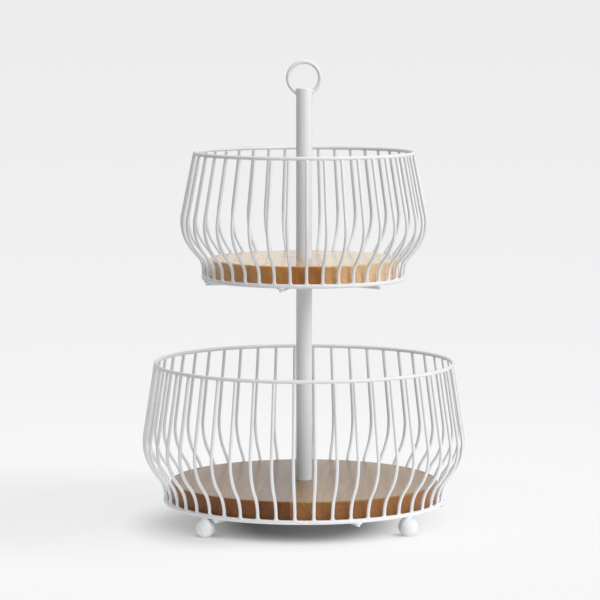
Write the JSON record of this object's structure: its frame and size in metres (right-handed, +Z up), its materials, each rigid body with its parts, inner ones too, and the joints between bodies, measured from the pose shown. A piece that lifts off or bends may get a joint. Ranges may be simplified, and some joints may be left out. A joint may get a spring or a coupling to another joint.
{
  "type": "tiered wire basket",
  "caption": "Tiered fruit basket: round white wire baskets with wooden bases on a central post, a carrying ring on top and ball feet below.",
  "frame": {"origin": "on the post's axis, at the height that the ball feet stand on", "axes": "+Z up along the post, +X to the right and -Y towards the viewer, with the ring handle across the view"},
  "size_m": [0.3042, 0.3042, 0.4335],
  "materials": {
    "white_powder_coat": "satin white powder coat",
    "acacia_board": "oiled, edge-glued staves",
    "zinc_hardware": "zinc plated"
  },
  "bodies": {
    "root": {"upper_rim": "white_powder_coat", "upper_base_ring": "white_powder_coat", "upper_hub": "white_powder_coat", "upper_board": "acacia_board", "upper_uprights_1": "white_powder_coat", "upper_uprights_2": "white_powder_coat", "upper_uprights_3": "white_powder_coat", "upper_uprights_4": "white_powder_coat", "upper_uprights_5": "white_powder_coat", "upper_uprights_6": "white_powder_coat", "upper_uprights_7": "white_powder_coat", "upper_uprights_8": "white_powder_coat", "upper_spoke_1": "white_powder_coat", "upper_spoke_2": "white_powder_coat", "upper_spoke_3": "white_powder_coat", "upper_spoke_4": "white_powder_coat", "upper_spoke_5": "white_powder_coat", "upper_spoke_6": "white_powder_coat", "lower_rim": "white_powder_coat", "lower_base_ring": "white_powder_coat", "lower_hub": "white_powder_coat", "lower_board": "acacia_board", "lower_uprights_1": "white_powder_coat", "lower_uprights_2": "white_powder_coat", "lower_uprights_3": "white_powder_coat", "lower_uprights_4": "white_powder_coat", "lower_uprights_5": "white_powder_coat", "lower_uprights_6": "white_powder_coat", "lower_uprights_7": "white_powder_coat", "lower_uprights_8": "white_powder_coat", "lower_spoke_1": "white_powder_coat", "lower_spoke_2": "white_powder_coat", "lower_spoke_3": "white_powder_coat", "lower_spoke_4": "white_powder_coat", "lower_spoke_5": "white_powder_coat", "lower_spoke_6": "white_powder_coat", "foot_1": "white_powder_coat", "foot_2": "white_powder_coat", "foot_3": "white_powder_coat", "foot_4": "white_powder_coat", "ring_handle": "white_powder_coat", "upper_post": "white_powder_coat", "lower_post": "white_powder_coat", "top_plug": "white_powder_coat", "upper_post_insert": "zinc_hardware", "lower_post_top_insert": "zinc_hardware", "lower_post_bottom_insert": "zinc_hardware", "joining_stud": "zinc_hardware", "base_screw": "zinc_hardware", "base_washer": "zinc_hardware"}
  },
  "joints": []
}
